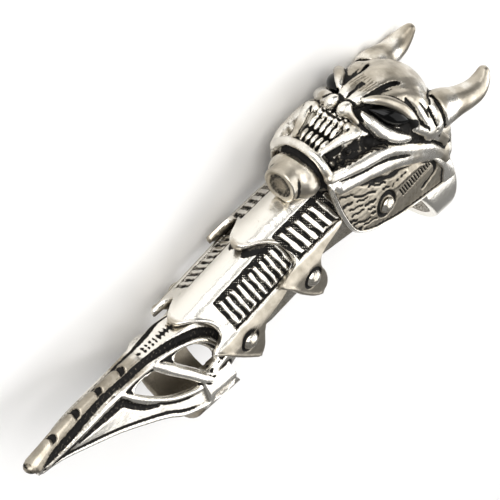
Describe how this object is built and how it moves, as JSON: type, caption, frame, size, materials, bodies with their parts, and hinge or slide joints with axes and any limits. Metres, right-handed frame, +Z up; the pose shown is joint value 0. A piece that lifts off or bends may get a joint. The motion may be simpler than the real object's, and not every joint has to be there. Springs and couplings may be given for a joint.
{
  "type": "knuckle armor ring",
  "caption": "Jointed full-finger armour ring: a horned skull on a finger band, hinged ribbed plates and a pierced claw on a fingertip band.",
  "frame": {"origin": "centre of the bore of the band at the root of the finger", "axes": "+X along the finger to the wrist, -X to the claw's tip, +Y to the back of the finger, where the face looks, +Z up to the near side, because the ring lies on its side"},
  "size_m": [0.1091, 0.043, 0.0222],
  "materials": {
    "cast_silver": "cast zinc alloy, silver plated, polished high spots and black oxidised recesses",
    "polished_rivet": "polished domed rivet",
    "black_enamel": "glossy black enamel"
  },
  "bodies": {
    "knuckle": {"knuckle": "cast_silver", "eye_near": "black_enamel", "eye_far": "black_enamel", "head_rivet_near": "polished_rivet", "head_rivet_far": "polished_rivet"},
    "first_plate": {"plate_1": "cast_silver", "rivet_1_near": "polished_rivet", "rivet_1_far": "polished_rivet"},
    "second_plate": {"plate_2": "cast_silver", "rivet_2_near": "polished_rivet", "rivet_2_far": "polished_rivet"},
    "claw": {"claw": "cast_silver"}
  },
  "joints": [
    {"name": "head_hinge", "type": "hinge", "parent": "knuckle", "child": "first_plate", "pos_m": [-0.0206, 0.0111, 0], "axis": [0, 0, 1], "range_deg": [0, 50]},
    {"name": "plate_hinge", "type": "hinge", "parent": "first_plate", "child": "second_plate", "pos_m": [-0.03959, 0.00765, 0], "axis": [0, 0, 1], "range_deg": [0, 50]},
    {"name": "claw_hinge", "type": "hinge", "parent": "second_plate", "child": "claw", "pos_m": [-0.05492, 0.00425, 0], "axis": [0, 0, 1], "range_deg": [0, 45]}
  ]
}
